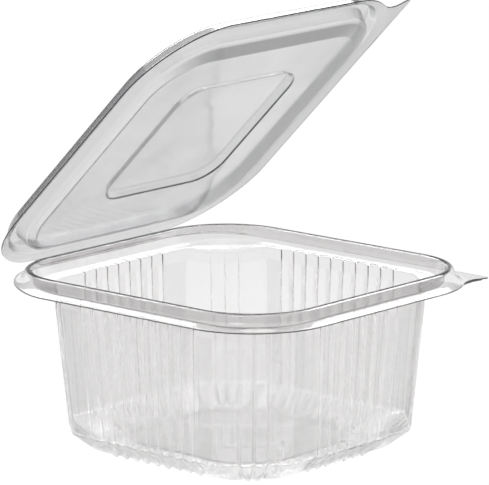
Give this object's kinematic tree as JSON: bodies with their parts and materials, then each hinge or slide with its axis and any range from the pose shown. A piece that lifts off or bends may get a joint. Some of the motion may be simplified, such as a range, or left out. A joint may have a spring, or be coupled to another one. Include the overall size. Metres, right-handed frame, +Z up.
{
  "type": "hinged clear plastic pack",
  "caption": "Clear formed plastic pack: a ribbed square tub with cut corners, a beaded rim and a lid joined to it by a living hinge.",
  "frame": {"origin": "middle of the plane that the tub's foot stands on", "axes": "+Z up, -Y to the front, where the lid opens, +X to the side of the lift tabs; the hinge runs along X at the back"},
  "size_m": [0.1376, 0.1443, 0.1666],
  "materials": {
    "clear_tub": "clear, glossy, as formed",
    "clear_lid": "clear, glossy, as formed"
  },
  "bodies": {
    "tub": {"tub": "clear_tub"},
    "lid": {"lid": "clear_lid"}
  },
  "joints": [
    {"name": "lid_hinge", "type": "hinge", "parent": "tub", "child": "lid", "pos_m": [0, 0.0735, 0.064], "axis": [-1, 0, 0], "range_deg": [-45, 135]}
  ]
}
